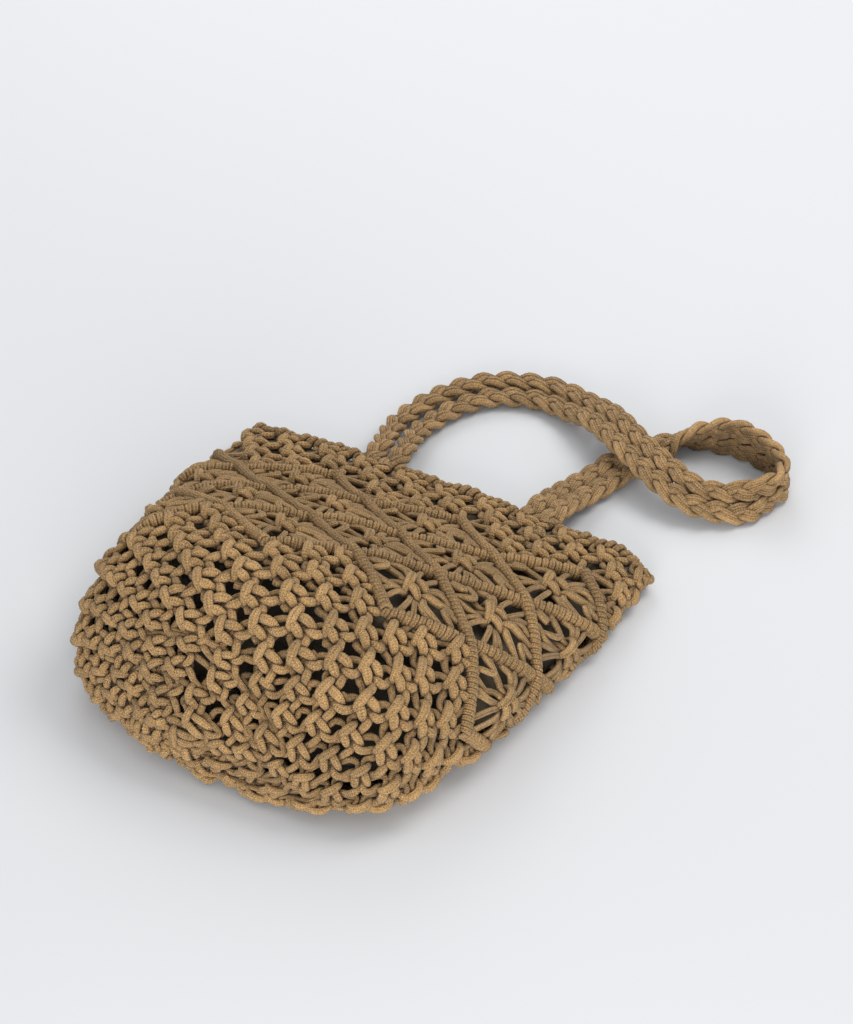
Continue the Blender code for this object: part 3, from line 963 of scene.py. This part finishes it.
def base_before(first):
    if first[1] < BASE_START + 6:
        return (first[0], min(first[1] - 3, float(band_bottom(first[0])) - 1), -5.0, LOOSE_R)
    return (first[0], first[1] - 5, first[2] - 2, 2.1)


def base_after(last):
    return (last[0], min(last[1] + 8, skin.v_max - 3), -9.0, 2.1)


def build_base():
    pieces = [Cords("base_net_cords_1"), Cords("base_net_cords_2")]
    rows = base_rows()
    link_rows(rows)
    rows.append([Knot(0.0, skin.v_max, 1.05), Knot(0.0, skin.v_max - 6.0, 1.0),
                 Knot(STRANDS / 2, skin.v_max - 7.0)])
    net_cords(pieces, rows, base_before, base_after)
    return [cords.build(net_mat) for cords in pieces]


# ---------------- lining
LINING_TOP = 3.5  # the hem, from the mouth
LINING_DEEP = -15.0  # heights under the net's outer face: at the top,
LINING_BAND = -11.5  # behind the band
LINING_BASE = -30.0  # and in the base
LINING_RISE = 6.5  # nearer the net by this at the rim
LINING_EASE = 14.0  # the height changes over this far at the band's edges,
LINING_SLACK = 40.0  # in the base
LINING_RIM = 24.0  # and at the rim
LINING_STEP = 3.0
LINING_AROUND = 168  # points around
LINING_BASE_SHADE = 0.16  # painted shade: share of the cloth's colour that is left in the base
CLOTH_WIDE = 6.65  # cloth to one strand width
HEM = ((9, -2.4), (4, -2.2), (0, -1.9), (-1.2, -1.0), (0, -0.1))  # turned in: distance, height
# height, around, along, start
FOLDS = ((0.7, 0.83, 0.06, 0), (0.6, 0.31, -0.085, 0), (0.4, 1.9, 0, 1.3))


def lining_height(c, v):
    top = np.asarray(band_top(c), float)
    low = np.asarray(band_bottom(c), float)
    inside = np.clip((v - top) / LINING_EASE, 0, 1) \
        * np.clip((low - v) / LINING_EASE, 0, 1)
    folds = sum(high * np.sin(c * around + v * along + start)
                for high, around, along, start in FOLDS)
    slack = np.clip((v - low) / LINING_SLACK, 0, 1)
    deep = LINING_DEEP + (LINING_BASE - LINING_DEEP) * slack * slack * (3 - 2 * slack)
    rim = LINING_RISE * np.clip(1 - v / LINING_RIM, 0, 1)
    return deep + rim + (LINING_BAND - LINING_DEEP) * inside + folds * np.clip(v / 50, 0.2, 1)


def lining_light(c, v):
    """Painted shade: share of the cloth's colour that is left where the knots keep it in the dark.
    """
    top, low = float(band_top(c)), float(band_bottom(c))
    at = (0, 8, 16, 30, top, low, low + 20, 400)
    return np.interp(v, at, (0.7, 0.6, 0.45, 0.35, 0.35, 0.3, LINING_BASE_SHADE, LINING_BASE_SHADE))


def build_lining():
    """The sewn pouch inside the knots, with its top edge turned in as a hem."""
    n = LINING_AROUND
    c = np.arange(n + 1) * STRANDS / n
    rows = [(LINING_TOP + below, extra) for below, extra in HEM]
    rows += [(v, 0.0) for v in np.arange(LINING_TOP + LINING_STEP, skin.v_max - 1, LINING_STEP)]
    rings = []
    for v, extra in rows:
        at = np.full(n + 1, v)
        rings.append(skin.place(c, at, lining_height(c % STRANDS, at) + extra))
    rings = np.array(rings)
    run = way(rings).mean(1)
    verts = np.vstack([rings[:, :-1].reshape(-1, 3), rings[-1, :-1].mean(0)])
    light = [float(lining_light(c[k], v)) for v, _ in rows for k in range(n)] + [LINING_BASE_SHADE]
    faces = []
    corners = []
    for r in range(len(rows)):
        for k in range(n):
            here = r * n + k
            beside = r * n + (k + 1) % n
            u, u1 = c[k:k + 2] * CLOTH_WIDE
            if r < len(rows) - 1:
                faces.append((here, here + n, beside + n, beside))
                corners += [(u, run[r]), (u, run[r + 1]), (u1, run[r + 1]), (u1, run[r])]
            else:
                faces.append((here, len(rows) * n, beside))
                corners += [(u, run[r]), (u, run[r] + 4), (u1, run[r])]
    mesh = bpy.data.meshes.new("lining_cloth")
    mesh.from_pydata(((verts - ORIGIN) * MM).tolist(), [], faces)
    return finish_mesh(mesh, lining_mat, corners, shade=light)


# ---------------- handles
# right, out from the mouth, height, share of a quarter turn on edge
HANDLE_ROUTE = (
    (-50, 0.6, 17, 0), (-50, 14, 17, 0), (-56, 33, 12, 0), (-60, 55, 7, 0), (-54, 85, 6, 0),
    (-37, 111, 6, 0), (-8, 124, 6, 0), (20, 119, 9, 0), (46, 106, 18, 0), (78, 87, 20, 0),
    (103, 75, 19, 0.1), (127, 71, 14, 0.2), (149, 80, 11, 0.4), (163, 95, 14, 1), (164, 114, 14, 1),
    (144, 130, 14, 1), (118, 134, 14, 1), (93, 123, 11, 0.6), (78, 107, 6, 0), (70, 88, 6, 0),
    (65, 64, 6, 0), (61, 38, 10, 0), (61, 14, 17, 0), (61, 0.6, 17, 0))
HANDLE_D = 11.5
HANDLE_PITCH = 14.0  # between the two
PLAIT_LENGTH = 41.0  # one full turn of the plait
PLAIT_WIDE = 3.3  # how far its cords swing to the sides
PLAIT_HIGH = 2.3  # and up and down
PLAIT_CORD_R = 2.15
PLAIT_APART = 0.72  # the two cords of a strand overlap a little
HANDLE_TUCK = 5.5  # the ends run on this far into the net
# share of the way along the handle, and how much wider the pair lies there
PLAIT_SPREAD = ((0.0, 0.0), (0.05, 0.8), (0.12, 2.4), (0.30, 2.0), (0.42, -1.0), (1.0, -1.0))


def handle_line(side):
    """The CAD's route of one plait, side -1 or +1 of the pair, and its crosswise directions."""
    fine = smooth_rows(HANDLE_ROUTE, np.arange(401) * (len(HANDLE_ROUTE) - 1) / 400)
    places = fine[:, :3]
    ahead = np.vstack([places[1:], places[-1:]]) - np.vstack([places[:1], places[:-1]])
    level = unit(np.stack([ahead[:, 1], -ahead[:, 0], 0 * ahead[:, 0]], 1))
    turned = np.pi / 2 * fine[:, 3:4]
    across = level * np.cos(turned) - np.array([0, 0, 1]) * np.sin(turned)
    line = places + across * (side * HANDLE_PITCH / 2)
    line[:, 2] = np.maximum(line[:, 2], HANDLE_D / 2 + 0.05)
    return line, across


def build_handle(name, side):
    line, across = handle_line(side)
    route = (line[::4] - ORIGIN) * MM
    line = np.vstack([line[0] - HANDLE_TUCK * unit(line[1] - line[0]), line,
                      line[-1] + HANDLE_TUCK * unit(line[-1] - line[-2])])
    across = np.vstack([across[:1], across, across[-1:]])
    run = way(line)
    spread = np.interp(run / run[-1], *zip(*PLAIT_SPREAD))
    line = line + across * (side * spread / 2)[:, None]
    s = np.arange(0, run[-1], CORD_STEP)
    mid = resampled(line, run, s)
    ahead = unit(np.gradient(mid, axis=0))
    over = square_to(ahead, resampled(across, run, s))
    up = np.cross(over, ahead)
    up *= np.where(up[:, 2:] + 0.3 < 0, -1, 1)
    cords = Cords(name)
    turns = round(run[-1] / PLAIT_LENGTH)
    for strand in range(3):
        phase = 2 * np.pi * (turns * s / run[-1] + strand / 3 + (0.25 if side > 0 else 0))
        wide = PLAIT_WIDE * np.sin(phase)
        high = PLAIT_HIGH * np.sin(2 * phase)
        centre = mid + over * wide[:, None] + up * high[:, None]
        tangent = unit(np.gradient(centre, axis=0))
        apart = unit(np.cross(tangent, up))
        for half in (-1, 1):
            path = centre + apart * (half * PLAIT_CORD_R * PLAIT_APART)
            thick = PLAIT_CORD_R * (0.93 + 0.12 * np.abs(np.sin(phase)))
            cords.add(path, thick, high * 1.6 - 2.5, up, squash=1.05, up=up)
    obj = cords.build(handle_mat)
    length = float(way(route)[-1])
    tuple(route[0])
    return obj


# ---------------- camera
AZ = math.radians(31)
EL = math.radians(37)
DISTANCE = 5.5
VIEW_HEIGHT = 0.6144  # of the picture, at the bag
VIEW_SHIFT = (-0.0147, -0.0012)
SENSOR = 36.0


def aim(obj, target):
    direction = Vector(np.array(target) - np.array(obj.location))
    obj.rotation_euler = direction.to_track_quat("-Z", "Y").to_euler()


def build_camera():
    back = np.array([math.sin(AZ) * math.cos(EL), -math.cos(AZ) * math.cos(EL), math.sin(EL)])
    right = np.array([math.cos(AZ), math.sin(AZ), 0.0])
    up = np.cross(back, right)
    mouth = -ORIGIN * MM
    look = mouth + right * VIEW_SHIFT[0] + up * VIEW_SHIFT[1]
    data = bpy.data.cameras.new("camera")
    data.sensor_fit = "VERTICAL"
    data.sensor_height = SENSOR
    data.lens = SENSOR * DISTANCE / VIEW_HEIGHT
    camera = new_object("camera", data)
    camera.location = look + back * DISTANCE
    aim(camera, look)
    scene.camera = camera


build_camera()
for handle, side in (("handle_front", -1), ("handle_back", 1)):
    finish_piece(build_handle(handle + "_cords", side), handle)
top = finish_piece(build_top(), "top_net")
finish_piece(build_rim(), "top_net")
finish_piece(build_ridges(), "diamond_band")
finish_piece(build_butterflies(), "diamond_band")
base = [finish_piece(half, "base_net") for half in build_base()]
lining = finish_piece(build_lining(), "lining")


# ---------------- light and floor
FLOOR_REACH = 6
FLOOR_COLOUR = (0.62, 0.626, 0.636, 1)
SKY_COLOUR = (0.93, 0.96, 1.0, 1)
SKY_STRENGTH = 0.72
# name, place and size in metres, watts, colour
LIGHTS = (("key", (0.6, 0.9, 1.5), 1.1, 13.5, (1.0, 0.985, 0.96)),
          ("fill", (0.8, -1.5, 0.5), 0.9, 23, (1.0, 0.99, 0.97)),
          ("back", (-0.7, 0.95, 0.8), 0.8, 4.5, (1.0, 1.0, 1.0)))


def build_floor():
    mesh = bpy.data.meshes.new("floor")
    r = FLOOR_REACH
    mesh.from_pydata([(-r, -r, 0), (r, -r, 0), (r, r, 0), (-r, r, 0)], [], [(0, 1, 2, 3)])
    mat = Nodes("floor").finish({"Base Color": FLOOR_COLOUR, "Roughness": 0.9})
    mesh.materials.append(mat)
    new_object("floor", mesh)


def area_light(name, place, size, power, colour):
    data = bpy.data.lights.new(name, "AREA")
    data.shape = "DISK"
    data.size = size
    data.energy = power
    data.color = colour
    light = new_object(name, data)
    light.location = place
    aim(light, (0, 0, 0))


def build_world():
    world = bpy.data.worlds.new("world")
    world.use_nodes = True
    background = world.node_tree.nodes["Background"]
    background.inputs[0].default_value = SKY_COLOUR
    background.inputs[1].default_value = SKY_STRENGTH
    scene.world = world


scene.view_settings.view_transform = "Standard"
build_floor()
build_world()
for light in LIGHTS:
    area_light(*light)
